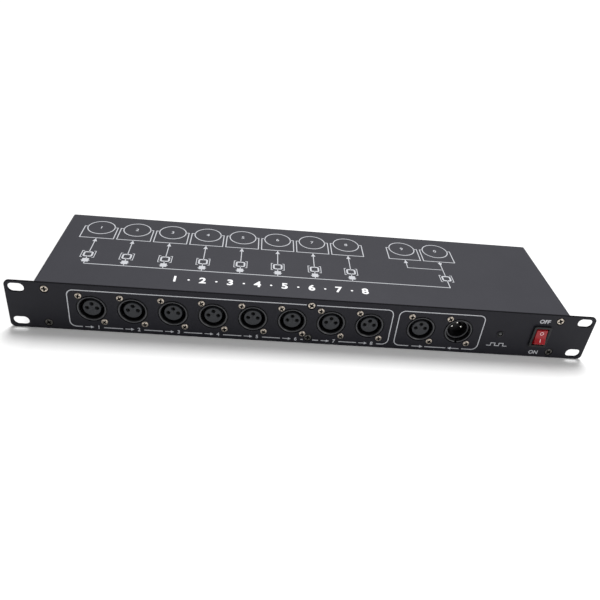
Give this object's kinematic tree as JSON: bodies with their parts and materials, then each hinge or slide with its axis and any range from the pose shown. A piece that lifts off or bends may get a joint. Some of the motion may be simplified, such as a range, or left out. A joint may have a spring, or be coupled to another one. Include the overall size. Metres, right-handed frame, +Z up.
{
  "type": "dmx splitter",
  "caption": "Rack-mount lighting signal splitter: slotted front panel with a row of round sockets, signal lamp and rocker switch, folded steel case behind, mains inlet at the rear.",
  "frame": {"origin": "middle of the bounding box's underside, on the tray's flat bottom", "axes": "+X to the right along the front panel, +Y from the front panel to the rear, +Z up"},
  "size_m": [0.4826, 0.1318, 0.044],
  "materials": {
    "panel_paint": "satin dark grey powder coat with light print",
    "case_paint": "satin grey enamel with light print",
    "tray_steel": "satin dark grey powder coat",
    "socket_housing": "moulded black plastic",
    "socket_insert": "moulded dark plastic",
    "contact_silver": "silver plated",
    "screw_steel": "warm nickel plated steel",
    "lamp_bezel": "black plastic",
    "lamp_lens": "pale diffusing lens",
    "switch_plastic": "black plastic",
    "rocker_plastic": "red, slightly translucent plastic",
    "inlet_plastic": "black plastic",
    "fuse_glass": "clear glass with metal caps",
    "circuit_board": "green solder mask",
    "standoff_brass": "turned brass",
    "core_steel": "varnished laminations",
    "coil_wrap": "amber winding tape",
    "sink_aluminium": "plain extruded",
    "regulator_plastic": "moulded black package",
    "capacitor_sleeve": "dark blue shrink sleeve"
  },
  "bodies": {
    "case": {"front_panel": "panel_paint", "chassis_tray": "tray_steel", "top_cover": "case_paint", "output_1_socket": "socket_housing", "output_1_insert": "socket_insert", "output_2_socket": "socket_housing", "output_2_insert": "socket_insert", "output_3_socket": "socket_housing", "output_3_insert": "socket_insert", "output_4_socket": "socket_housing", "output_4_insert": "socket_insert", "output_5_socket": "socket_housing", "output_5_insert": "socket_insert", "output_6_socket": "socket_housing", "output_6_insert": "socket_insert", "output_7_socket": "socket_housing", "output_7_insert": "socket_insert", "output_8_socket": "socket_housing", "output_8_insert": "socket_insert", "through_socket": "socket_housing", "through_insert": "socket_insert", "input_socket": "socket_housing", "input_insert": "socket_insert", "input_pin_left": "contact_silver", "input_pin_right": "contact_silver", "input_pin_top": "contact_silver", "panel_screw_1": "screw_steel", "panel_screw_2": "screw_steel", "panel_screw_3": "screw_steel", "panel_screw_4": "screw_steel", "panel_screw_5": "screw_steel", "panel_screw_6": "screw_steel", "cover_screw_1": "screw_steel", "cover_screw_2": "screw_steel", "cover_screw_3": "screw_steel", "cover_screw_4": "screw_steel", "lamp_bezel": "lamp_bezel", "signal_lamp": "lamp_lens", "switch_body": "switch_plastic", "inlet_body": "inlet_plastic", "inlet_blade_line": "contact_silver", "inlet_blade_neutral": "contact_silver", "inlet_blade_earth": "contact_silver", "inlet_screw_1": "screw_steel", "inlet_screw_2": "screw_steel", "main_board": "circuit_board", "standoff_1": "standoff_brass", "standoff_2": "standoff_brass", "standoff_3": "standoff_brass", "standoff_4": "standoff_brass", "transformer_core": "core_steel", "transformer_coil": "coil_wrap", "heat_sink": "sink_aluminium", "regulator": "regulator_plastic", "capacitor_large": "capacitor_sleeve", "capacitor_small": "capacitor_sleeve"},
    "rocker": {"switch_rocker": "rocker_plastic"},
    "fuse_carrier": {"fuse_drawer": "inlet_plastic", "fuse": "fuse_glass"}
  },
  "joints": [
    {"name": "rocker_hinge", "type": "hinge", "parent": "case", "child": "rocker", "pos_m": [0.1975, -0.05962, 0.022], "axis": [1, 0, 0], "range_deg": [0, 24]},
    {"name": "fuse_drawer_slide", "type": "slide", "parent": "case", "child": "fuse_carrier", "axis": [0, 1, 0], "range_m": [0, 0.02]}
  ]
}
